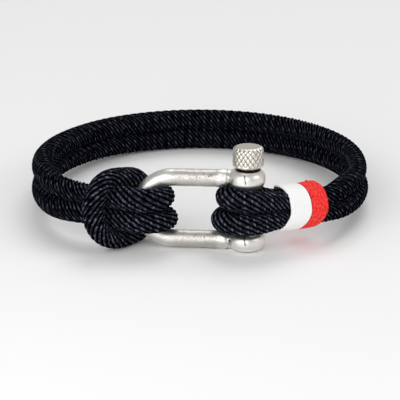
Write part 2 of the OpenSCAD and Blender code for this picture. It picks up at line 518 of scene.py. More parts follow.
@dataclass(frozen=True)
class PaperFloor:
    """Plain white card under the bracelet: matt, and a little brighter than the lit steel."""

    colour: str = "#fafafa"

    def material(self) -> bpy.types.Material:
        """Build the floor's material.

        Returns:
            The material.
        """
        material, tree, shader = blank_material("white_card")
        set_inputs(tree, shader, {
            "Base Color": linear(self.colour), "Roughness": 0.9, "Specular IOR Level": 0.1,
        })
        return material


@dataclass(frozen=True)
class RestPlace:
    """From the plane of the ring to the bracelet lying on the table.

    The plane leans back about X, rolls a little about Y and is lifted, so that the back of the
    band, the shackle's lower eye and the hitch touch the table.
    """

    tilt_deg: float = 3.87
    roll_deg: float = 0.28
    shift_mm: tuple[float, float, float] = (0.0, -26.7, 8.195)

    def turn(self) -> Array:
        """Work out the rotation: a turn about X by minus the tilt, then about Y by the roll.

        Returns:
            A matrix of three rows.
        """
        tilt, roll = -math.radians(self.tilt_deg), math.radians(self.roll_deg)
        about_x = np.array([[1, 0, 0], [0, math.cos(tilt), -math.sin(tilt)],
                            [0, math.sin(tilt), math.cos(tilt)]])
        about_y = np.array([[math.cos(roll), 0, math.sin(roll)], [0, 1, 0],
                            [-math.sin(roll), 0, math.cos(roll)]])
        return about_y @ about_x

    def place(self, points: Array) -> Array:
        """Place points of the ring's plane.

        Args:
            points: Millimetres in the ring's plane, one row each.

        Returns:
            Metres in the bracelet's frame, never under the table.
        """
        placed = (points @ self.turn().T + np.array(self.shift_mm)) * MM
        placed[:, 2] = np.maximum(placed[:, 2], 0.0)
        return placed


def store_layers(mesh: bpy.types.Mesh, layers: dict[str, Array]) -> None:
    """Store named values on a mesh.

    Args:
        mesh: The mesh.
        layers: For each name, one value for each point.
    """
    for name, values in layers.items():
        stored = mesh.attributes.new(name, "FLOAT", "POINT")
        stored.data.foreach_set("value", values.astype(np.float32))


@dataclass
class Sheet:
    """A surface as whole arrays, before it becomes a mesh.

    Points are in millimetres in the plane of the ring. Quads and triangles index them, uvs hold
    one row for each corner in the order of the faces, and layers hold one value for each point.
    """

    points: Array
    quads: Array
    triangles: Array = field(default_factory=lambda: np.empty((0, 3), int))
    uvs: Array | None = None
    uv_name: str = "map"
    layers: dict[str, Array] = field(default_factory=dict)

    def joined(self, other: Sheet) -> Sheet:
        """Put two bare sheets together, without their maps and layers.

        Args:
            other: The second sheet.

        Returns:
            One sheet with the points and faces of both.
        """
        shift = len(self.points)
        return Sheet(
            np.vstack([self.points, other.points]),
            np.vstack([self.quads, other.quads + shift]),
            np.vstack([self.triangles, other.triangles + shift]),
        )

    def mesh(self, name: str) -> bpy.types.Mesh:
        """Make a smooth-shaded mesh of the points as they are.

        Args:
            name: The mesh's name.

        Returns:
            The mesh, with its UV map and point attributes.
        """
        mesh = bpy.data.meshes.new(name)
        corners = np.concatenate([self.quads.ravel(), self.triangles.ravel()])
        starts = np.concatenate([
            np.arange(len(self.quads)) * 4,
            self.quads.size + np.arange(len(self.triangles)) * 3,
        ])
        mesh.vertices.add(len(self.points))
        mesh.vertices.foreach_set("co", self.points.astype(np.float32).ravel())
        mesh.loops.add(len(corners))
        mesh.loops.foreach_set("vertex_index", corners.astype(np.int32))
        mesh.polygons.add(len(starts))
        mesh.polygons.foreach_set("loop_start", starts.astype(np.int32))
        mesh.polygons.foreach_set("use_smooth", np.ones(len(starts), bool))
        mesh.update(calc_edges=True)
        if self.uvs is not None:
            uv_layer = mesh.uv_layers.new(name=self.uv_name)
            uv_layer.data.foreach_set("uv", self.uvs.astype(np.float32).ravel())
        store_layers(mesh, self.layers)
        return mesh


def grid_quads(rows: int, columns: int, wrap_rows: bool = False) -> Array:
    """Number the quads of a grid that closes on itself across its columns.

    Args:
        rows: Rows of points.
        columns: Points in each row.
        wrap_rows: Whether the last row also joins the first.

    Returns:
        Point numbers, four for each quad, turning from a column to the next and then to the
        next row.
    """
    row = np.arange(rows if wrap_rows else rows - 1)[:, None]
    column = np.arange(columns)[None, :]
    after = (column + 1) % columns
    below = (row + 1) % rows
    quads = np.stack(
        [row * columns + column, row * columns + after,
         below * columns + after, below * columns + column], axis=-1,
    )
    return quads.reshape(-1, 4)


def grid_uvs(rows: int, columns: int, u_edges: Array, v_edges: Array) -> Array:
    """Give each corner of such a grid its own place, so that the map's join doesn't smear.

    Args:
        rows: Rows of quads.
        columns: Columns of quads.
        u_edges: The value of u at each column line, one more than the columns.
        v_edges: The value of v at each row line, one more than the rows.

    Returns:
        One u, v row for each corner, in the order of grid_quads.
    """
    left = np.broadcast_to(u_edges[:-1], (rows, columns))
    right = np.broadcast_to(u_edges[1:], (rows, columns))
    upper = np.broadcast_to(v_edges[:-1, None], (rows, columns))
    lower = np.broadcast_to(v_edges[1:, None], (rows, columns))
    corners = [(left, upper), (right, upper), (right, lower), (left, lower)]
    return np.stack([np.stack(c, axis=-1) for c in corners], axis=2).reshape(-1, 2)


def end_caps(rows: int, columns: int) -> Array:
    """Close both ends of a grid with fans of triangles to two hub points.

    Args:
        rows: Rows of points.
        columns: Points in each row.

    Returns:
        Point numbers, three for each triangle; the first row's hub and the last row's follow
        the grid's own points.
    """
    hubs = np.full(columns, rows * columns)
    ring = np.arange(columns)
    after = np.roll(ring, -1)
    last = (rows - 1) * columns
    return np.vstack([
        np.column_stack([hubs, after, ring]),
        np.column_stack([hubs + 1, ring + last, after + last]),
    ])


def put_piece(
    name: str, mesh: bpy.types.Mesh, body: Body, slot: Slot, material: bpy.types.Material,
    *nodes: str,
) -> None:
    """Put a finished mesh into the scene as a piece of the bracelet.

    Args:
        name: The piece's name.
        mesh: Its mesh, in metres at rest.
        body: The body that it rides on.
        slot: The record's slot that its finish belongs to.
        material: Its material.
        nodes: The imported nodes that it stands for.
    """
    piece = bpy.data.objects.new(name, mesh)
    bpy.context.scene.collection.objects.link(piece)
    mesh.materials.clear()
    mesh.materials.append(material)
    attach(piece, body.value)
    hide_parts(*nodes)
    triangles = sum(len(p.vertices) - 2 for p in mesh.polygons)
    LOG.info("%s: %d triangles, on %s, slot %s", name, triangles, body.value, slot.value)


def bspline(points: Array, at: Array) -> Array:
    """Follow a smooth curve that runs near its points.

    It is a uniform cubic B-spline: each place is a weighted mean of four neighbouring points,
    and the points are mirrored past both ends so that the curve starts and ends on them.

    Args:
        points: One row for each point.
        at: Places along the curve, where whole numbers fall near the points.

    Returns:
        One row for each place.
    """
    mirrored = np.vstack([2 * points[0] - points[1], points, 2 * points[-1] - points[-2]])
    span = np.clip(at.astype(int), 0, len(points) - 2)
    u = (at - span)[:, None]
    weights = [(1 - u) ** 3, 3 * u**3 - 6 * u**2 + 4, -3 * u**3 + 3 * u**2 + 3 * u + 1, u**3]
    return sum(w / 6 * mirrored[span + k] for k, w in enumerate(weights))


def unit_rows(vectors: Array) -> Array:
    """Scale each row to a length of one."""
    return vectors / np.linalg.norm(vectors, axis=1)[:, None]


def running_sum(steps: Array) -> Array:
    """Add steps up, from zero at the start."""
    return np.concatenate([[0], np.cumsum(steps)])


def blend(pair: Pair, share: Array) -> Array:
    """Go from the pair's first value at a share of 0 to its second at 1."""
    return pair[0] + (pair[1] - pair[0]) * share


def smooth_step(values: Array, low: float, high: float) -> Array:
    """Rise from 0 at low to 1 at high along a smooth S."""
    share = np.clip((values - low) / (high - low), 0, 1)
    return share * share * (3 - 2 * share)


def bell(values: Array, half: float) -> Array:
    """Fall from 1 at zero to 0.37 at half, as e to the power of minus the square."""
    return np.exp(-((values / half) ** 2))


def ripple(points: Array, size: float, waves: int, seed: int) -> Array:
    """Give a soft irregular height at each point.

    It is a sum of sine waves of about one wavelength that run in random but fixed directions.

    Args:
        points: Places in millimetres.
        size: Wavelength in millimetres.
        waves: How many waves are summed.
        seed: Seed of the fixed directions.

    Returns:
        Heights with a typical size of one.
    """
    draw = np.random.default_rng(seed)
    directions = unit_rows(draw.normal(size=(waves, 3))) * TAU / size
    directions *= draw.uniform(0.7, 1.4, (waves, 1))
    offsets = draw.uniform(0, TAU, waves)
    return np.sin(points @ directions.T + offsets).sum(axis=1) * math.sqrt(2 / waves)


# The band's way round the wrist, x and y of each strand's points, from the whippings to the hitch
UPPER_BAND = (
    (28.2, 7.7), (31, 13.4), (32.2, 21.5), (31.9, 29.8), (29.6, 38.3), (24.9, 46.2),
    (18.2, 52.6), (9.6, 56.7), (0, 58.2), (-9.6, 56.7), (-18.2, 52.6), (-25, 46.2),
    (-30, 38.3), (-32.5, 29.8), (-32.5, 21), (-30.6, 13), (-27.8, 7.6),
)
LOWER_BAND = (
    (28.4, 7.9), (31.1, 13.4), (32.6, 21), (32.4, 29.3), (30.1, 38), (25.2, 46),
    (18.5, 52.5), (9.8, 56.7), (0, 58.2), (-9.8, 56.7), (-18.5, 52.5), (-25.3, 46),
    (-30.2, 38), (-32.5, 29), (-32.5, 20), (-30.9, 12), (-28, 6.8),
)


@dataclass(frozen=True)
class Bundle:
    """The four bound cords under the whippings, in a block two wide and two high."""

    start: Pair = (15.7, 0.1)
    turn_deg: float = 31.0
    half: float = 1.84
    cord_r: float = 1.71
    length: float = 8.7
    rise: float = 0.4
    level_from: float = 4.8

    def in_ring(self, along: Array, side: Array, z: Array) -> Array:
        """Carry places of the bundle into the plane of the ring.

        Args:
            along: Distance along the bundle from its mouth at the pin.
            side: Distance to the side of its middle, towards the wrist.
            z: Height over its middle.

        Returns:
            x, y and z of each place along a last axis.
        """
        turn = math.radians(self.turn_deg)
        x = self.start[0] + along * math.cos(turn) - side * math.sin(turn)
        y = self.start[1] + along * math.sin(turn) + side * math.cos(turn)
        return np.stack([x, y, z + self.lift(along)], axis=-1)

    def lift(self, along: float | Array) -> float | Array:
        """Return how much the bundle rises towards the pin, a straight climb from its middle."""
        return self.rise * np.clip(1 - along / self.level_from, 0, 1.3)


@dataclass(frozen=True)
class ShackleLayout:
    """Where the shackle's bar and pin lie, for the steel and for the cord that goes round it."""

    pin_x: float = 9.4
    leg_z: float = 6.3
    leg_l: float = 14.75
    swing_deg: float = 4.5


@dataclass(frozen=True)
class CordRoute:
    """The way of the one cord, from one tucked end to the other.

    Each point has x, y and z in the plane of the ring and the cord's radius there. Points round a
    turn stand out by the share that the smooth curve cuts inside them. Pairs of values are for
    the upper strand and for the lower: how much wider than the pin its turn is, how much the
    turn's front is lifted and thickened, how far the tucked end dips as it leaves the whippings,
    and how much the strand in front is lifted as it enters them.
    """

    bundle: Bundle = Bundle()
    layout: ShackleLayout = ShackleLayout()
    cord_r: float = 2.1
    hitch_r: float = 1.95
    turn_r: float = 2.0
    strand_z: float = 2.14
    slack: Pair = (0.1, 0.45)
    front_lift: Pair = (0.68, 0.12)
    front_swell: Pair = (0.1, 0.0)
    tuck_drop: Pair = (0.45, 0.0)
    mouth_lift: Pair = (0.02, 0.0)
    bow_play: float = 0.12
    pin_play: float = 0.1
    bar_r: float = 1.7
    pin_r: float = 1.65
    turn_step_deg: float = 45.0
    bundle_mark: int = 14
    arch_mark: int = 35

    def around(
        self, centre: Pair, half_x: float, half_y: float, heights: Pair, turn: Pair, radius: float,
    ) -> Array:
        """Give the points of a turn round a post.

        Args:
            centre: The post's x and y.
            half_x: Half width of the turn along x.
            half_y: Half width of the turn along y.
            heights: Height at the start and at the end.
            turn: Angle at the start and at the end, in degrees.
            radius: The cord's radius.

        Returns:
            One row of x, y, z and radius for each point.
        """
        swell = (4 + 2 * math.cos(math.radians(self.turn_step_deg))) / 6
        count = round(abs(turn[1] - turn[0]) / self.turn_step_deg) + 1
        angle = np.radians(np.linspace(turn[0], turn[1], count))
        return np.column_stack([
            centre[0] + half_x / swell * np.cos(angle),
            centre[1] + half_y / swell * np.sin(angle),
            np.linspace(heights[0], heights[1], count),
            np.full(count, radius),
        ])

    def bow_post(self) -> Pair:
        """Find where the strands meet the round bow, with the shackle swung about its pin.

        A strand meets the half circle of the bow at its own height, so its distance from the
        bow's middle is the root of the leg's height squared less the strand's squared.

        Returns:
            x and y in the plane of the ring.
        """
        layout = self.layout
        reach = layout.leg_l + math.sqrt(layout.leg_z**2 - self.strand_z**2)
        swing = math.radians(layout.swing_deg)
        return layout.pin_x - reach * math.cos(swing), reach * math.sin(swing)

    def pin_end(self, side: int) -> Array:
        """Follow a tucked end, its turn round the pin and its way back through the whippings.

        Args:
            side: 1 for the upper strand and -1 for the lower.

        Returns:
            One row of x, y, z and radius for each point.
        """
        lower = side < 0
        slack, drop, mouth = self.slack[lower], self.tuck_drop[lower], self.mouth_lift[lower]
        half, length = self.bundle.half, self.bundle.length
        z, q = side * self.strand_z, side * half
        along, off, height, extra_r = np.array([
            (length + 0.7, half, q, 0), (length - 2, half, q, 0), (4.2, half, q, 0),
            (2.3, half, q - drop, 0), (-0.7, half, q - drop, 0),
            (-1.2, -half, q + mouth, 0.03), (1.5, -half, q, 0), (4.6, -half, q, 0),
            (length - 0.6, -half, q, 0), (length + 1.8, -half - 0.15, side * 1.78, 0.04),
        ]).T
        bound = np.column_stack([
            self.bundle.in_ring(along, off, height), self.bundle.cord_r + extra_r,
        ])
        tucked, back = bound[:5], bound[5:]
        leaving = [11.9 - 0.7 * slack, 3 + 0.5 * slack, z - drop, self.turn_r - 0.05]
        post_r = self.pin_r + self.cord_r + self.pin_play
        turn = self.around(
            (self.layout.pin_x - slack * 1.7, 0), post_r + slack, post_r + slack, (z, z),
            (90, 270), self.cord_r,
        )
        in_front = np.array([0, 0.3, 0.8, 1, 1])
        turn[:, 2] += self.front_lift[lower] * in_front
        turn[:, 3] += self.front_swell[lower] * in_front
        coming = [12.7, 0.4 - post_r, z + 0.42 + mouth, self.turn_r]
        return np.vstack([tucked, leaving, turn, coming, back])

    def band(self, outline: tuple[Pair, ...], z: float) -> Array:
        """Carry one strand's outline to its height, at the cord's full radius."""
        flat = np.array(outline, float)
        return np.column_stack([flat, np.full(len(flat), z), np.full(len(flat), self.cord_r)])

    def upper_hitch(self) -> Array:
        """Follow the upper strand under the arch, round the bow and back over to the arch.

        Its turn rises in front of the bow and behind it, and is thicker in front, where the steel
        doesn't press it.

        Returns:
            One row of x, y, z and radius for each point.
        """
        x, y = self.bow_post()
        turn_y = self.bar_r + self.cord_r + self.bow_play
        turn = self.around((x, y), 4.15, turn_y, (2.08, 2.25), (-90, 90), self.turn_r)
        turn[:, 2] += 0.42 * np.array([1, 0.6, 0.1, 0.4, 0.9])
        turn[:, 3] += 0.28 * np.array([1, 0.7, 0.2, 0, 0])
        r, h = self.cord_r, self.hitch_r
        before = [[-24, 4.3, 2.15, r], [-20.7, 2.3, 2.1, h], [-17.5, 0.8, 2.4, h + 0.15],
                  [-14.2, -1.75, 2.8, r + 0.25]]
        after = [[-12.9, 5.2, 4.95, r + 0.1], [-14.9, 3.8, 5.1, r + 0.1],
                 [-17.2, 1.3, 6.0, h + 0.1], [-19.4, -1.5, 5.9, h - 0.05], [-20.7, -3.3, 3.3, r]]
        return np.vstack([before, turn, after])

    def lower_hitch(self) -> Array:
        """Follow the lower strand in the same way, under the ring's plane.

        Returns:
            One row of x, y, z and radius for each point.
        """
        x, y = self.bow_post()
        turn_y = self.bar_r + self.cord_r + self.bow_play
        turn = self.around((x + 0.3, y), 4.55, turn_y, (-2.1, -2.5), (-90, 90), self.turn_r)
        r, h, t = self.cord_r, self.hitch_r, self.turn_r
        before = [[-24.2, 4.1, -1.8, r], [-20.8, 2.2, -1.8, h], [-17.5, 0.8, -1.75, h],
                  [-14.2, -1.75, -2, t]]
        after = [[-11.2, 5.2, -5.4, r], [-13.3, 3.8, -6.1, t], [-15.5, 1, -6.45, h],
                 [-18.5, -2.2, -5.4, h - 0.05], [-20.4, -3.7, -2.6, r]]
        return np.vstack([before, turn, after])

    def points(self) -> Array:
        """Put the whole route together, with the top of the arch in its middle.

        Returns:
            One row of x, y, z and radius for each point.
        """
        upper = [self.pin_end(1), self.band(UPPER_BAND, self.strand_z), self.upper_hitch()]
        lower = [self.pin_end(-1), self.band(LOWER_BAND, -self.strand_z), self.lower_hitch()]
        arch_top = [-20.9, -3.7, 0.4, self.cord_r]
        return np.vstack([*upper, arch_top, np.vstack(lower)[::-1]])


@dataclass(frozen=True)
class BraidedCord:
    """The cord's surface: two families of yarn that wind round it in opposite ways.

    The right-handed family is thick and shows as slanting ridges. The crossing family is thin and
    shows only as a knuckle where it passes over a ridge's crown. Across the ridges the place is
    x, a whole number in each slit, and along the cord it is b, a whole number at each row of
    knuckles. With a the angle round the cord as a share of a turn and p the running count of
    pitches, x is ridges times a minus p.

    Pairs of values are for slack cord and for cord stretched round the metal, or where a stretch
    fades in, from 0 at the first to 1 at the second.
    """

    route: CordRoute = CordRoute()
    ridges: int = 12
    pitch: Pair = (0.9, 1.5)
    knuckle_gap: Pair = (1.65, 1.1)
    points_per_ridge: int = 7
    rings_per_pitch: int = 5
    valley: float = 0.85
    crest: float = 1.06
    ridge_top: float = 0.92
    ridge_fall: Pair = (0.74, 0.6)
    slit_half: float = 0.11
    slit_depth: Pair = (0.45, 0.55)
    low_ridge: Pair = (0.18, 0.0)
    knuckle_half: float = 0.16
    knuckle_height: Pair = (0.08, 0.16)
    knuckle_rarity: Pair = (0.25, 1.65)
    low_knuckle: Pair = (0.7, 0.0)
    melted_l: float = 0.9
    melted_height: float = 0.6
    front_by_y: Pair = (12, 4)
    front_by_left: Pair = (-24, -18)
    taut_by_right: Pair = (18.5, 16.5)
    steep_by_right: Pair = (15.5, 9)

    def relief(self, across: Array, crossing: Array, taut: Array) -> tuple[Array, Array]:
        """Work out the height of the yarns.

        A ridge falls from its crown as the root of one minus a share of the distance squared, and
        a bell shape sinks the slit beside it. Every other ridge lies lower in slack cord. A bell
        shape in both directions lifts each knuckle by its own chance, which is the fraction left
        by a large sine of the ridge's and the row's numbers, raised to a power.

        Args:
            across: The place x across the ridges.
            crossing: The place b across the crossing yarns.
            taut: How taut the cord is, from 0 to 1.

        Returns:
            The height from 0 in the deepest slit to 1 on a crown, and the chance that each
            knuckle has to stand out.
        """
        x = across % 1
        ridge = np.floor(across)
        row = np.round(crossing)
        odd = ridge % 2
        gap = bell(np.minimum(x, 1 - x), self.slit_half) * blend(self.slit_depth, taut)
        chance = (np.sin(12.9898 * ridge + 78.233 * row) * 43758.5453) % 1
        chance = chance ** blend(self.knuckle_rarity, taut)
        chance = chance * (1 - blend(self.low_knuckle, taut) * odd)
        off_crown = 2 * np.abs(x - 0.5)
        knuckle = bell(off_crown, 0.5) * bell(crossing - row, self.knuckle_half) * chance
        dome = np.sqrt(1 - blend(self.ridge_fall, taut) * off_crown**2)
        top = self.ridge_top - blend(self.low_ridge, taut) * odd
        return top * dome * (1 - gap) + blend(self.knuckle_height, taut) * knuckle, chance

    def stations(self) -> dict[str, Array]:
        """Set rings along the route at equal steps of the lay.

        The yarns lie steeper where the cord is stretched round the metal, so the pitch grows
        there, and the rings follow the running count of pitches. The directions across don't
        twist: each is the one before it with its share along the cord taken out.

        Returns:
            For each ring its place on the curve, centre, radius, directions along and across,
            count of pitches, length so far, how taut it is and its count of knuckle rows.
        """
        points = self.route.points()
        fine = np.linspace(0, len(points) - 1, 60 * len(points))
        curve = bspline(points, fine)
        middle = (curve[1:] + curve[:-1]) / 2
        x, y = middle[:, 0], middle[:, 1]
        in_front = smooth_step(y, *self.front_by_y) * smooth_step(x, *self.front_by_left)
        taut = in_front * smooth_step(x, *self.taut_by_right)
        steep = in_front * smooth_step(x, *self.steep_by_right)
        steps = np.linalg.norm(np.diff(curve[:, :3], axis=0), axis=1)
        length = running_sum(steps)
        count = running_sum(steps / blend(self.pitch, steep))
        crossed = running_sum(steps / blend(self.knuckle_gap, taut))
        phase = np.arange(math.floor(count[-1] * self.rings_per_pitch) + 1) / self.rings_per_pitch
        at = np.interp(phase, count, fine)
        ring = bspline(points, at)
        along = unit_rows(np.gradient(ring[:, :3], axis=0))
        across = np.empty_like(along)
        side = np.array([0.0, 0.0, 1.0])
        for number, direction in enumerate(along):
            side = side - direction * (side @ direction)
            side = side / np.linalg.norm(side)
            across[number] = side
        LOG.info("cord: %.1f mm along its middle", length[-1])
        return {
            "at": at, "centre": ring[:, :3], "radius": ring[:, 3], "along": along,
            "across": across, "phase": phase, "length": np.interp(phase, count, length),
            "taut": np.interp(phase, count[1:], taut), "crossed": np.interp(phase, count, crossed),
        }

    def stretch(self, rings: dict[str, Array], first: int, last: int) -> Sheet:
        """Carry the braid's profile along a stretch of the route and close both ends.

        A point lies on its ring at the ring's radius times a share between the valley's and the
        crest's, by the relief. The columns of the grid follow the ridges, so they wind round the
        cord. Near the cord's own ends the radius falls along a quarter circle, as melted ends do.

        Args:
            rings: What stations returned.
            first: Number of the first ring.
            last: Number of the last ring.

        Returns:
            The stretch as a closed sheet in the ring's plane.
        """
        part = {name: values[first : last + 1] for name, values in rings.items()}
        columns = self.ridges * self.points_per_ridge
        rows = len(part["phase"])
        x_edges = np.arange(columns + 1) / self.points_per_ridge
        x = np.broadcast_to(x_edges[:-1], (rows, columns))
        angle = TAU * (x + part["phase"][:, None]) / self.ridges
        taut = part["taut"][:, None]
        height, chance = self.relief(x, part["crossed"][:, None], taut)
        from_end = np.minimum(part["length"], rings["length"][-1] - part["length"])
        melted = np.clip(1 - from_end / self.melted_l, 0, 1)[:, None]
        height = height + (self.melted_height - height) * np.minimum(1.5 * melted, 1)
        share = blend((self.valley, self.crest), height)
        radius = part["radius"][:, None] * share * np.sqrt(1 - 0.96 * melted**2)
        up = np.cross(part["along"], part["across"])
        spokes = (np.cos(angle)[..., None] * part["across"][:, None]
                  + np.sin(angle)[..., None] * up[:, None])
        points = part["centre"][:, None] + radius[..., None] * spokes
        caps = end_caps(rows, columns)
        wall_uvs = grid_uvs(rows - 1, columns, x_edges, part["crossed"])
        return Sheet(
            np.vstack([points.reshape(-1, 3), part["centre"][[0, -1]]]),
            grid_quads(rows, columns),
            caps,
            np.vstack([wall_uvs, np.zeros((caps.size, 2))]),
            "along_cord",
            {"chance": np.append(chance.ravel(), [0, 0]),
             "taut": np.append(np.broadcast_to(taut, x.shape).ravel(), [0, 0])},
        )

    def build(self, place: RestPlace, material: bpy.types.Material) -> None:
        """Build the cord in five stretches that meet inside the whippings and the hitch.

        Args:
            place: Where the bracelet rests.
            material: The cord's material.
        """
        rings = self.stations()
        end = len(self.route.points()) - 1
        marks = [0, self.route.bundle_mark, self.route.arch_mark,
                 end - self.route.arch_mark, end - self.route.bundle_mark, end]
        cuts = [int(np.argmin(np.abs(rings["at"] - mark))) for mark in marks]
        names = ["cord_upper_turn", "cord_upper_band", "cord_hitch", "cord_lower_band",
                 "cord_lower_turn"]
        for name, first, last in zip(names, cuts[:-1], cuts[1:]):
            sheet = self.stretch(rings, first, last)
            sheet.points = place.place(sheet.points)
            put_piece(name, sheet.mesh(name), Body.BAND, Slot.CORD, material, "cord")


@dataclass(frozen=True)
class Shackle:
    """The D shackle: one bar bent to a half-round bow, with an eye at the end of each leg.

    Its own frame has the pin's axis as Z at the origin and the legs along minus X. Pairs of
    values are where a form, a wear, a painted highlight or painted shade fades in, from 0 at the
    first to 1 at the second.
    """

    layout: ShackleLayout = ShackleLayout()
    bar_r: float = 1.74
    bar_columns: int = 64
    leg_rows: int = 160
    bow_rows: int = 68
    upset: float = 0.06
    upset_by: Pair = (-6.4, -5.2)
    waist: float = 0.08
    waist_by: Pair = (-4.4, -3.8)
    eye_r: float = 3.68
    eye_lift: float = 0.2
    eye_shift: float = -0.28
    eye_round: float = 1.5
    eye_columns: int = 120
    bore_r: float = 1.74
    bore_lip: float = 0.18
    voxel: float = 0.12
    smoothing: int = 6
    shoulder_by: Pair = (-6.6, -5.6)
    shoulder_end: Pair = (-3.2, -4.0)
    rubbed_and_highlit_by: tuple[Pair, Pair] = ((-6.6, -5.4), (-4.2, -3.2))
    bow_by: Pair = (-13.5, -16.5)
    pit_shade_line_deg: float = 30.0
    pit_shade_half_deg: float = 20.0
    # Leaning line on each eye: a painted reflection of a gap between lamps, and a shallow groove.
    gap_line_x: float = -0.35
    gap_line_z: float = 0.7
    gap_line_lean: float = 0.14
    gap_line_half: float = 0.13
    gap_line_depth: float = 0.05
    crease_half: float = 0.14
    crease_by: Pair = (-2.7, -3.3)
    head_by: Pair = (2.6, 2.4)

    def bar(self) -> Sheet:
        """Carry a circle along leg, bow and leg, and close it inside the eyes.

        The path runs straight along the lower leg, round the half circle of the bow, and back
        along the upper leg. The bar is a touch thicker at the shoulder where it was upset, and
        narrows between the shoulder and the eye.

        Returns:
            The bar as a closed sheet in the shackle's own frame.
        """
        leg_z, leg_l = self.layout.leg_z, self.layout.leg_l
        straight = np.linspace(-self.bore_r - 0.55, -leg_l, self.leg_rows)
        bend = np.linspace(-math.pi / 2, -3 * math.pi / 2, self.bow_rows + 2)[1:-1]
        x = np.concatenate([straight, -leg_l + leg_z * np.cos(bend), straight[::-1]])
        level = np.full(self.leg_rows, leg_z)
        z = np.concatenate([-level, leg_z * np.sin(bend), level])
        centre = np.column_stack([x, np.zeros_like(x), z])
        along = unit_rows(np.gradient(centre, axis=0))
        side = np.array([0.0, 1.0, 0.0])
        up = np.cross(along, side)
        angle = TAU * np.arange(self.bar_columns) / self.bar_columns
        thickness = (1 + self.upset * smooth_step(x, *self.upset_by)
                     - self.waist * smooth_step(x, *self.waist_by))
        spokes = np.cos(angle)[None, :, None] * side + np.sin(angle)[None, :, None] * up[:, None]
        points = centre[:, None] + self.bar_r * thickness[:, None, None] * spokes
        return Sheet(
            np.vstack([points.reshape(-1, 3), centre[[0, -1]]]),
            grid_quads(len(x), self.bar_columns), end_caps(len(x), self.bar_columns),
        )

    def eye(self, side: int) -> Sheet:
        """Turn a rounded section about the pin's axis into an eye with its bore.

        The section is half the eye's height and is mirrored. Above, an eye may be lifted, and
        its outside lies a little nearer the bow than its bore does.

        Args:
            side: 1 for the upper eye and -1 for the lower.

        Returns:
            The eye, closed round its bore.
        """
        half = self.bar_r
        arc = np.linspace(0, math.pi / 2, 14)
        lift = self.eye_lift if side > 0 else 0.0
        outer_r = self.eye_r - self.eye_round + self.eye_round * np.cos(arc)
        outer_z = half - self.eye_round + self.eye_round * np.sin(arc)
        profile_r = np.concatenate([outer_r, [self.bore_r + self.bore_lip, self.bore_r]])
        profile_z = np.concatenate([outer_z, [half, half - self.bore_lip]])
        raised_z = profile_z + lift * np.clip(profile_z / half, 0, 1)
        r = np.concatenate([profile_r, profile_r[::-1]])
        z = np.concatenate([raised_z, -profile_z[::-1]]) + side * self.layout.leg_z
        angle = TAU * np.arange(self.eye_columns) / self.eye_columns
        shift = self.eye_shift * (r - self.bore_r) / (self.eye_r - self.bore_r)
        points = np.stack([
            r[:, None] * np.cos(angle) + shift[:, None], r[:, None] * np.sin(angle),
            np.broadcast_to(z[:, None], (len(r), self.eye_columns)),
        ], axis=-1)
        return Sheet(points.reshape(-1, 3), grid_quads(len(r), self.eye_columns, wrap_rows=True))

    def fused(self) -> bpy.types.Mesh:
        """Weld bar and eyes into one skin, with the edges tumbled soft.

        Returns:
            The mesh in the shackle's own frame, in millimetres.
        """
        sheet = self.bar().joined(self.eye(1)).joined(self.eye(-1))
        rough = bpy.data.objects.new("shackle_rough", sheet.mesh("shackle_rough"))
        bpy.context.scene.collection.objects.link(rough)
        weld = rough.modifiers.new("weld", "REMESH")
        weld.mode = "VOXEL"
        weld.voxel_size = self.voxel
        tumble = rough.modifiers.new("tumble", "SMOOTH")
        tumble.factor = 0.5
        tumble.iterations = self.smoothing
        graph = bpy.context.evaluated_depsgraph_get()
        mesh = bpy.data.meshes.new_from_object(rough.evaluated_get(graph))
        bpy.data.objects.remove(rough)
        return mesh

    def hammering(self, points: Array) -> Array:
        """Work out how far the steel is dented in or out.

        Broad ripples of 2.2 mm are the same everywhere, and fine ones of 0.9 mm are deepest at
        the shoulders, where the bar was upset.

        Args:
            points: Places in the shackle's own frame.

        Returns:
            Millimetres at each point, and none at the bores.
        """
        x, y, _ = points.T
        shoulder = smooth_step(x, *self.shoulder_by) * smooth_step(x, *self.shoulder_end)
        broad = 0.012 * ripple(points, 2.2, 24, 3)
        fine = (0.006 + 0.016 * shoulder) * ripple(points, 0.9, 32, 5)
        return (broad + fine) * smooth_step(np.hypot(x, y), self.bore_r + 0.06, self.bore_r + 0.66)

    def groove_and_reflection(self, points: Array) -> Array:
        """Draw a short leaning line on each eye: a painted reflection, pressed in as a groove.

        Args:
            points: Places in the shackle's own frame.

        Returns:
            A bell shape across the line, from 0 to 1.
        """
        x, y, z = points.T
        up = z - np.sign(z) * self.layout.leg_z - self.gap_line_z
        on_face = smooth_step(y, -2.9, -3.1) * smooth_step(np.abs(up), 1.0, 0.75)
        return bell(x - self.gap_line_x + self.gap_line_lean * up, self.gap_line_half) * on_face

    def painted_shade(self, points: Array) -> Array:
        """Work out where shade is painted: in the crease beside each eye, and under the pin's head.

        The crease is a bell shape about the eye's round outline, only on the leg's side, darkest
        on the low side of the bar, and broken into patches by a ripple of 0.6 mm.

        Args:
            points: Places in the shackle's own frame.

        Returns:
            A share at each point.
        """
        x, y, z = points.T
        # Painted shade in the crease beside each eye, darkest on the low side of the bar.
        low = 0.35 + 0.65 * smooth_step(np.abs(z) - self.layout.leg_z, 1.1, -0.9)
        beside_eye = np.hypot(x - self.eye_shift, y) - self.eye_r - 0.06
        patches = 1 + 0.4 * ripple(points, 0.6, 32, 9)
        crease = bell(beside_eye, self.crease_half) * smooth_step(x, *self.crease_by) * low * patches
        # Painted shade on the upper eye's top, round the bore under the pin's head.
        on_top = z > self.layout.leg_z + 0.9 * self.bar_r
        return crease + smooth_step(np.hypot(x, y), *self.head_by) * on_top

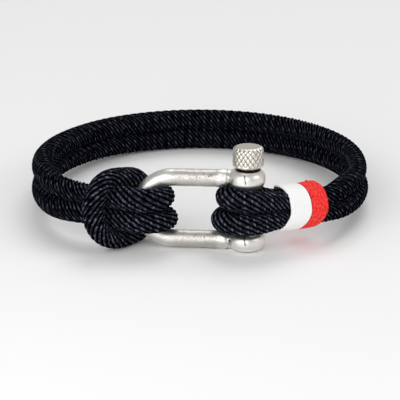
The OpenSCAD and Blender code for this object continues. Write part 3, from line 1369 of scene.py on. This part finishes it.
    def build(self, place: RestPlace, material: bpy.types.Material) -> None:
        """Build the shackle, swung about its pin as it hangs in the cord.

        The eyes and the bow are worn smooth, and their whiter steel is partly a painted highlight.
        Pits show most along the front of the legs, in a bell shape round the line that faces a
        little above level, and that band is painted shade as well.

        Args:
            place: Where the bracelet rests.
            material: The steel's material.
        """
        mesh = self.fused()
        points = np.empty(len(mesh.vertices) * 3, np.float32)
        normals = np.empty(len(mesh.vertices) * 3, np.float32)
        mesh.vertices.foreach_get("co", points)
        mesh.vertices.foreach_get("normal", normals)
        points = points.reshape(-1, 3).astype(float)
        normals = normals.reshape(-1, 3)
        x = points[:, 0]
        bow = smooth_step(x, *self.bow_by)
        shoulder_by, eye_by = self.rubbed_and_highlit_by
        # Worn smooth on shoulders, eyes and bow, and whiter there as a painted highlight.
        rubbed_and_highlit = 0.55 * smooth_step(x, *shoulder_by) + 0.45 * smooth_step(x, *eye_by) + 0.5 * bow
        # Pits gather in a band facing a little above level, and there they are painted shade too.
        level_deg = np.degrees(np.arctan2(normals[:, 2], np.abs(normals[:, 1])))
        pit_shade_line = bell(level_deg - self.pit_shade_line_deg, self.pit_shade_half_deg)
        pitted_and_shaded = (0.25 + pit_shade_line) * (1 - 0.8 * bow)
        # The painted reflection line, also pressed in as a groove.
        groove_and_reflection = self.groove_and_reflection(points)
        # All of this is painted shade, together with the painted reflection line.
        painted_shade = np.clip(groove_and_reflection + self.painted_shade(points), 0, 1)
        depth = self.hammering(points) * (1 - 0.6 * rubbed_and_highlit) - self.gap_line_depth * groove_and_reflection
        points = points + normals * depth[:, None]
        swing = math.radians(-self.layout.swing_deg)
        turn = np.array([[math.cos(swing), -math.sin(swing), 0],
                         [math.sin(swing), math.cos(swing), 0], [0, 0, 1]])
        points = points @ turn.T + np.array([self.layout.pin_x, 0, 0])
        mesh.vertices.foreach_set("co", place.place(points).astype(np.float32).ravel())
        mesh.polygons.foreach_set("use_smooth", np.ones(len(mesh.polygons), bool))
        store_layers(mesh, {"painted_shade": painted_shade, "rubbed_and_highlit": rubbed_and_highlit, "pitted_and_shaded": pitted_and_shaded})
        mesh.update()
        put_piece("shackle_bar", mesh, Body.BAND, Slot.SHACKLE, material, "shackle")


@dataclass(frozen=True)
class ShacklePin:
    """The screw pin: a threaded shank, a neck and a knurled head, turned in one piece."""

    layout: ShackleLayout = ShackleLayout()
    shank_r: float = 1.65
    thread_pitch: float = 0.6
    thread_depth: float = 0.22
    thread_l: float = 3.2
    tip_z: float = -7.85
    neck_z: float = 8.02
    neck_r: float = 2.25
    neck_h: float = 0.45
    neck_lift: float = 0.21
    head_r: float = 3.05
    head_h: float = 4.4
    head_round: float = 0.8
    head_bevel: float = 0.7
    diamonds: int = 18
    diamond_h: float = 1.4
    knurl_depth: float = 0.2
    points_per_diamond: int = 14

    def profile(self) -> tuple[Array, Array, Array, Array]:
        """Give the half outline from the tip's edge to the rim of the flat top.

        Returns:
            Radius and height of each row, its share of thread and its share of knurl.
        """
        head_z = self.neck_z + self.neck_h
        top_z = head_z + self.head_h
        bevel_z = head_z + self.head_bevel
        thread_top = self.tip_z + self.thread_l
        foot_z = self.neck_z + self.neck_lift
        rows: list[tuple[Array, Array, float, float]] = []

        def add(r0: float, z0: float, r1: float, z1: float, count: int,
                thread: float = 0.0, knurl: float = 0.0) -> None:
            """Add a straight stretch of rows from one radius and height towards another."""
            share = np.arange(count) / count
            rows.append((r0 + (r1 - r0) * share, z0 + (z1 - z0) * share, thread, knurl))

        r, n, h = self.shank_r, self.neck_r, self.head_r
        add(0.4 * r, self.tip_z, r - 0.3, self.tip_z, 3)
        add(r - 0.3, self.tip_z, r, self.tip_z + 0.3, 5)
        add(r, self.tip_z + 0.3, r, thread_top, 70, thread=1)
        add(r, thread_top, r, foot_z - 0.05, 30)
        add(r, foot_z - 0.05, n - 0.05, foot_z, 4)
        add(n - 0.05, foot_z, n, foot_z + 0.05, 3)
        add(n, foot_z + 0.05, n, head_z, 6)
        add(n, head_z, h - 0.1, bevel_z - 0.12, 8)
        add(h - 0.1, bevel_z - 0.12, h, bevel_z + 0.1, 4)
        add(h, bevel_z + 0.1, h, top_z - self.head_round, 64, knurl=1)
        turn = np.linspace(0, math.pi / 2, 16)
        rows.append((h + self.head_round * (np.cos(turn) - 1),
                     top_z + self.head_round * (np.sin(turn) - 1), 0.0, 1.0))
        add(h - self.head_round - 0.1, top_z, 0.3, top_z, 8)
        radius, height = (np.concatenate([row[k] for row in rows]) for k in (0, 1))
        thread, knurl = (
            np.concatenate([np.full(len(row[0]), row[k]) for row in rows]) for k in (2, 3))
        return radius, height, thread, knurl

    def sheet(self) -> Sheet:
        """Turn the outline about the pin's axis and cut thread and knurl into it.

        The thread is a wave that climbs one pitch in a turn. The knurl is two families of
        slanting grooves that run on over the head's rounded edge, by the distance along the
        outline: a groove is the third power of how near its line is, the larger of the two
        families counts, and where both are near there is a pit as well. Cuts go in along the
        surface's own normal.

        Returns:
            The pin, closed at the tip and on top, in the ring's plane.
        """
        radius, height, thread, knurl = (column[:, None] for column in self.profile())
        columns = self.diamonds * self.points_per_diamond
        turn = np.arange(columns)[None, :] / columns
        wave = 0.5 - 0.5 * np.cos(TAU * (height / self.thread_pitch - turn))
        head_z = self.neck_z + self.neck_h + self.head_bevel
        shoulder_z = self.neck_z + self.neck_h + self.head_h - self.head_round
        lean = np.clip((height - shoulder_z) / self.head_round, 0, 1)
        along = np.minimum(height, shoulder_z) + self.head_round * np.arcsin(lean)
        end = shoulder_z + self.head_round * math.pi / 2
        knurled = (knurl * smooth_step(height, head_z - 0.1, head_z + 0.35)
                   * smooth_step(along, end, end - 0.4))
        climbs = [self.diamonds * turn + way * (along - head_z) / self.diamond_h for way in (1, -1)]
        slopes = [np.abs(2 * (c % 1) - 1) for c in climbs]
        groove = np.maximum(*slopes) ** 3
        pit = (slopes[0] * slopes[1]) ** 5
        cut = (self.thread_depth * wave * thread
               + self.knurl_depth * knurled * (0.7 * groove + 0.5 * pit))
        r = radius - cut * np.sqrt(1 - lean**2)
        angle = TAU * turn
        points = np.stack([r * np.cos(angle), r * np.sin(angle), height - cut * lean], axis=-1)
        hubs = [[0, 0, self.tip_z], [0, 0, height[-1, 0]]]
        # Painted shade in the knurl's grooves and pits, the thread and the neck's recess.
        lay = 1 - knurled * np.minimum(0.55 * groove + 1.2 * pit, 1)
        lay = np.where(thread > 0, 1 - 0.7 * wave, lay)
        under_head = smooth_step(height, head_z - 0.5 * self.head_bevel, head_z - self.head_bevel)
        lay = lay * (1 - under_head * smooth_step(height, self.neck_z, self.neck_z + 0.2))
        return Sheet(
            np.vstack([points.reshape(-1, 3), hubs]) + np.array([self.layout.pin_x, 0, 0]),
            grid_quads(len(radius), columns), end_caps(len(radius), columns),
            layers={"lay": np.append(lay.ravel(), [1, 1])},
        )

    def build(self, place: RestPlace, material: bpy.types.Material) -> None:
        """Build the pin on its own body.

        Args:
            place: Where the bracelet rests.
            material: The pin's material.
        """
        sheet = self.sheet()
        sheet.points = place.place(sheet.points)
        put_piece("screw_pin", sheet.mesh("screw_pin"), Body.PIN, Slot.PIN, material, "shackle_pin")


@dataclass(frozen=True)
class Whipping:
    """A band of thread wound round the four bound cords, one layer deep.

    Its section is a square that bulges on its sides and is round at its corners, as thread lies
    round four soft cords. It has a little more room behind and below, its lower side sags back
    towards the pin, and its near edge may slant behind to let the tucked ends out. The tail is
    the height of a loose thread end on its front.
    """

    name: str
    node: str
    slot: Slot
    start: float
    length: float
    turns: int
    waviness: float
    relief: float
    slant_deg: float = 0.0
    slant_side: float = 2.2
    tail: float = 0.0
    tail_share: float = 0.21
    tail_along: float = 2.1
    sag: float = 1.6
    bundle: Bundle = Bundle()
    inside: float = 4.02
    squareness: float = 2.15
    back_room: float = 0.16
    low_room: float = 0.2
    wall: float = 0.4
    plies_round: int = 60
    plies_across: int = 2
    columns: int = 240
    rows_per_turn: int = 12

    def outline(self, share: Array, offset: Array) -> tuple[Array, Array]:
        """Follow the section at a distance outside the thread's inner face.

        In a direction at an angle, the inner face lies where the squareness powers of both
        coordinates, as shares of the half width, sum to one.

        Args:
            share: How far round, as a share of the whole way.
            offset: The distance outside the inner face.

        Returns:
            The place across the bundle and the height.
        """
        angle = TAU * share
        n = self.squareness
        powers = np.abs(np.cos(angle)) ** n + np.abs(np.sin(angle)) ** n
        radius = self.inside * powers ** (-1 / n) + offset
        y = radius * np.cos(angle)
        flat = self.bundle.half
        y = y + self.back_room * np.clip((y + flat) / (2 * flat), 0, 1)
        z = radius * np.sin(angle)
        return y, z - self.low_room * np.clip(-z / self.inside, 0, 1)

    def sheet(self) -> Sheet:
        """Lay the thread's turns over the outline and close them onto the inner face.

        The turns are half rounds: their height is the root of one minus the square of the
        distance from the crown. They climb one turn's width in a turn, and wander by two sine
        waves. At both edges the height falls along a quarter circle.

        Returns:
            The whipping as a closed sheet in the ring's plane.
        """
        share = np.arange(self.columns)[None, :] / self.columns
        side, _ = self.outline(share, self.wall)
        near = math.tan(math.radians(self.slant_deg)) * np.maximum(side - self.slant_side, 0)
        step = np.linspace(0, 1, self.turns * self.rows_per_turn + 1)[:, None]
        s = self.length * step
        width = self.length / self.turns
        wander = self.waviness * (np.sin(TAU * (2 * share + s / 3.1))
                                  + np.sin(TAU * (5 * share - s / 1.7) + 2)) / 2
        inside = smooth_step(s, 0, width) * smooth_step(s, self.length, self.length - width)
        count = (s + wander * inside) / width + share
        off_crown = 2 * (count % 1) - 1
        crown = np.sqrt(1 - 0.9 * off_crown**2)
        from_edge = np.minimum(s, self.length - s)
        rounding = np.sqrt(1 - np.clip(1 - from_edge / (0.45 * width), 0, 1) ** 2 * 0.97)
        tail = self.tail * bell(share - self.tail_share, 0.012) * bell(s - self.tail_along, 0.35)
        outer = (self.wall - self.relief + self.relief * crown + tail) * rounding
        offset = np.vstack([outer, np.zeros_like(outer)])
        y, z = self.outline(np.broadcast_to(share, offset.shape), offset)
        outer_s = near + (self.length - near) * step
        sag = self.sag * np.clip(-z / self.inside, 0, 1.1) ** 1.5
        along = np.vstack([outer_s, outer_s[::-1]]) - sag + self.start
        # lay sets the painted shade between the turns; the hidden inner face gets a fixed share.
        lay = np.vstack([crown * rounding, np.full_like(outer, 0.3)])
        uvs = grid_uvs(
            len(offset), self.columns,
            np.arange(self.columns + 1) / self.columns * self.plies_round,
            np.concatenate([s, s[::-1], s[:1]])[:, 0] / width * self.plies_across,
        )
        return Sheet(
            self.bundle.in_ring(along, y, z).reshape(-1, 3),
            grid_quads(len(offset), self.columns, wrap_rows=True)[:, ::-1],
            uvs=uvs.reshape(-1, 4, 2)[:, ::-1].reshape(-1, 2), uv_name="along_thread",
            layers={"lay": lay.ravel()},
        )

    def build(self, place: RestPlace, material: bpy.types.Material) -> None:
        """Build the whipping.

        Args:
            place: Where the bracelet rests.
            material: The thread's material.
        """
        sheet = self.sheet()
        sheet.points = place.place(sheet.points)
        put_piece(self.name, sheet.mesh(self.name), Body.BAND, self.slot, material, self.node)


def aim(thing: bpy.types.Object, where: Array, right: Array, up: Array, forward: Array) -> None:
    """Set a lamp or camera in its place and turn it.

    Args:
        thing: The lamp or camera.
        where: Its place in metres.
        right: Unit vector to its right.
        up: Unit vector up its picture.
        forward: Unit vector of its view.
    """
    matrix = np.eye(4)
    matrix[:3] = np.column_stack([right, up, -forward, where])
    thing.matrix_world = Matrix(matrix.tolist())


@dataclass(frozen=True)
class SoftBox:
    """A square soft light that faces the bracelet.

    Its direction is the azimuth round the table, 0 towards the viewer's side, and the elevation.
    """

    name: str
    azimuth_deg: float
    elevation_deg: float
    distance: float
    size: float
    power: float

    def place(self, target: Array) -> None:
        """Hang the light facing a target, level.

        Args:
            target: The target's place in metres.
        """
        azimuth, elevation = math.radians(self.azimuth_deg), math.radians(self.elevation_deg)
        out = np.array([
            math.sin(azimuth) * math.cos(elevation), -math.cos(azimuth) * math.cos(elevation),
            math.sin(elevation),
        ])
        data = bpy.data.lights.new(self.name, "AREA")
        data.shape = "SQUARE"
        data.size = self.size
        data.energy = self.power
        lamp = bpy.data.objects.new(self.name, data)
        bpy.context.scene.collection.objects.link(lamp)
        right = np.cross(-out, [0, 0, 1])
        right = right / np.linalg.norm(right)
        aim(lamp, target + out * self.distance, right, np.cross(right, -out), -out)


@dataclass(frozen=True)
class Studio:
    """A plain pale table, soft lights and the camera at the photograph's angle."""

    place: RestPlace
    frame_px: int = 400
    focal_px: float = 2413.0
    sensor_mm: float = 36.0
    distance_mm: float = 500.0
    elevation_deg: float = 16.9
    target_mm: tuple[float, float, float] = (0.0, 27.0, 0.0)
    target_px_y: float = 169.4
    floor_m: float = 6.0
    daylight_strength: float = 0.42
    lights: tuple[SoftBox, ...] = (
        SoftBox("key_light", 160, 60, 1.6, 1.0, 8.5),
        SoftBox("front_fill", -25, 22, 0.4, 0.4, 1.05),
        SoftBox("side_fill", 70, 30, 0.9, 0.5, 1.2),
    )

    def camera(self) -> None:
        """Place the camera in the frame of the leaning ring, so that it sees what the photo shows.

        It aims below the target by the pixels between the target's row and the middle row.
        """
        turn = self.place.turn()
        elevation = math.radians(self.elevation_deg)
        back = np.array([0, -math.cos(elevation), math.sin(elevation)])
        where = np.array(self.target_mm) + back * self.distance_mm
        drop = math.atan((self.frame_px / 2 - self.target_px_y) / self.focal_px)
        tilt = elevation + drop
        forward = np.array([0, math.cos(tilt), -math.sin(tilt)])
        up = np.array([0, math.sin(tilt), math.cos(tilt)])
        right = np.array([1.0, 0.0, 0.0])
        data = bpy.data.cameras.new("camera")
        data.sensor_width = self.sensor_mm
        data.lens = self.sensor_mm * self.focal_px / self.frame_px
        data.clip_start = 0.01
        data.clip_end = 50
        camera = bpy.data.objects.new("camera", data)
        bpy.context.scene.collection.objects.link(camera)
        position = self.place.place(where[None])[0]
        aim(camera, position, turn @ right, turn @ up, turn @ forward)
        bpy.context.scene.camera = camera

    def floor(self) -> None:
        """Lay the table as one flat sheet and mark it as stage."""
        half = self.floor_m / 2
        corners = np.array([[-half, -half, 0], [half, -half, 0], [half, half, 0], [-half, half, 0]])
        mesh = Sheet(corners, np.array([[0, 1, 2, 3]])).mesh("table")
        table = bpy.data.objects.new("table", mesh)
        bpy.context.scene.collection.objects.link(table)
        mesh.materials.append(PaperFloor().material())
        table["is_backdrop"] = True

    def daylight(self) -> None:
        """Fill the room with an even pale light."""
        world = bpy.data.worlds.new("studio")
        world.use_nodes = True
        tree = world.node_tree
        tree.nodes.clear()
        glow = add_node(
            tree, "ShaderNodeBackground",
            {"Color": linear("#ffffff"), "Strength": self.daylight_strength},
        )
        add_node(tree, "ShaderNodeOutputWorld", {"Surface": glow.outputs[0]})
        bpy.context.scene.world = world

    def build(self) -> None:
        """Set up table, light and camera, with colours shown as they are lit."""
        self.camera()
        self.floor()
        self.daylight()
        low, high = (np.array(corner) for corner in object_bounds())
        for light in self.lights:
            light.place((low + high) / 2)
        bpy.context.scene.view_settings.view_transform = "Standard"


def main() -> None:
    """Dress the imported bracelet: studio, cord, shackle, pin and whippings."""
    logging.basicConfig(level=logging.INFO, format="%(name)s: %(message)s")
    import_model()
    place = RestPlace()
    Studio(place).build()
    BraidedCord().build(place, BraidedPolyester().material())
    Shackle().build(place, TumbledSteel().material())
    ShacklePin().build(place, KnurledSteel().material())
    white = WoundThread("white_thread", "#fbfbfa", "#e2e1df", "#ffffff", ply_marks=0.2)
    red = WoundThread("red_thread", "#ff1e1c", "#c40a0e", "#ff7d72", ply_marks=0.8)
    Whipping(
        "white_wrap", "white_whipping", Slot.WHITE, start=0.0, length=4.8, turns=9,
        waviness=0.02, relief=0.04, slant_deg=24.4,
    ).build(place, white.material())
    Whipping(
        "red_wrap", "red_whipping", Slot.RED, start=4.9, length=3.8, turns=6,
        waviness=0.16, relief=0.22, tail=0.35,
    ).build(place, red.material())


if __name__ == "__main__":
    main()
